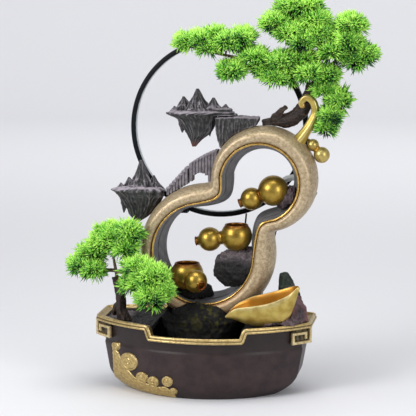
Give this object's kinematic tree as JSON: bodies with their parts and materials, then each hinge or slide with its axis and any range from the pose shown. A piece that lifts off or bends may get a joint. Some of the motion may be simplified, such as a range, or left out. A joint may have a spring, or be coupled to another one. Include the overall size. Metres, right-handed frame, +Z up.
{
  "type": "tabletop water fountain",
  "caption": "Gourd-shaped ring on a boat-shaped basin: pots pour into each other past rock islands, with artificial pines and a round light behind.",
  "frame": {"origin": "middle of the flat underside of the basin", "axes": "+Z up, the front of the basin faces -Y, +X to the viewer's right"},
  "size_m": [0.3774, 0.1466, 0.4895],
  "materials": {
    "basin_resin": "satin dark purplish-brown painted resin",
    "antique_gold": "antique gold paint, dark in the recesses",
    "champagne": "satin champagne gold with a fine speckle",
    "bright_gold": "bright gold paint",
    "liner_grey": "matt mid grey paint",
    "rock": "dark grey cast rock, dry-brushed lavender grey",
    "dark_rock": "near-black cast rock",
    "pot_gold": "satin gold paint with copper shading",
    "driftwood": "cast driftwood, dark brown with lighter ridges",
    "branch": "moulded plastic bark",
    "needles": "soft moulded needles, bright green tips",
    "light_housing": "matt black",
    "light_diffuser": "milky translucent",
    "screw_steel": "zinc plated",
    "pump_plastic": "moulded black",
    "pump_white": "moulded white",
    "shaft_ceramic": "polished ceramic",
    "rubber_black": "matt",
    "hose_clear": "translucent soft tube"
  },
  "bodies": {
    "fountain": {"basin": "basin_resin", "rim_trim": "antique_gold", "fret_left": "antique_gold", "fret_right": "antique_gold", "wave_relief": "antique_gold", "cable_gland": "rubber_black", "deck_left": "dark_rock", "deck_right": "dark_rock", "rock_mound": "dark_rock", "bowl_rocks": "rock", "gourd_frame": "champagne", "frame_liner": "liner_grey", "frame_bead": "bright_gold", "hose_cover": "dark_rock", "pot_top": "pot_gold", "pot_middle": "pot_gold", "pot_low": "pot_gold", "rock_top": "rock", "rock_middle": "rock", "rock_low": "rock", "scoop_bowl": "pot_gold", "island_upper": "rock", "island_lower": "rock", "staircase": "rock", "bridge": "rock", "ledge_rock": "rock", "stalk": "pot_gold", "mini_gourd": "pot_gold", "driftwood": "driftwood", "trunk_left": "driftwood", "led_channel": "light_housing", "led_diffuser": "light_diffuser", "ring_bracket_1": "light_housing", "ring_bracket_2": "light_housing", "bracket_screw_1": "screw_steel", "bracket_screw_2": "screw_steel", "led_lead": "light_housing", "riser_hose": "hose_clear", "pump_housing": "pump_plastic", "volute_cover": "pump_plastic", "outlet_nozzle": "pump_plastic", "impeller_shaft": "shaft_ceramic", "suction_cup_1": "rubber_black", "suction_cup_2": "rubber_black", "suction_cup_3": "rubber_black", "suction_cup_4": "rubber_black"},
    "impeller": {"impeller": "pump_white"},
    "regulator": {"regulator_knob": "pump_white"},
    "strainer": {"strainer_cover": "pump_plastic"},
    "pump_cover_rock": {"cover_rock": "rock"},
    "top_tree": {"top_branches": "branch", "foliage_top_left": "needles", "foliage_top_middle": "needles", "foliage_top_crown": "needles", "foliage_top_right": "needles", "foliage_top_low": "needles"},
    "left_tree": {"left_branches": "branch", "foliage_left_top": "needles", "foliage_left_outer": "needles", "foliage_left_inner": "needles"}
  },
  "joints": [
    {"name": "impeller_spin", "type": "hinge", "parent": "fountain", "child": "impeller", "pos_m": [0.072, -0.01, 0.027], "axis": [0, 1, 0], "continuous": true},
    {"name": "regulator_turn", "type": "hinge", "parent": "fountain", "child": "regulator", "pos_m": [0.093, -0.006, 0.027], "axis": [1, 0, 0], "range_deg": [0, 90]},
    {"name": "strainer_slide", "type": "slide", "parent": "fountain", "child": "strainer", "axis": [0, -1, 0], "range_m": [0, 0.01]},
    {"name": "cover_rock_lift", "type": "slide", "parent": "fountain", "child": "pump_cover_rock", "axis": [0, 0, 1], "range_m": [0, 0.05]},
    {"name": "top_tree_lift", "type": "slide", "parent": "fountain", "child": "top_tree", "axis": [0, 0, 1], "range_m": [0, 0.03]},
    {"name": "left_tree_lift", "type": "slide", "parent": "fountain", "child": "left_tree", "axis": [0, 0, 1], "range_m": [0, 0.03]}
  ]
}
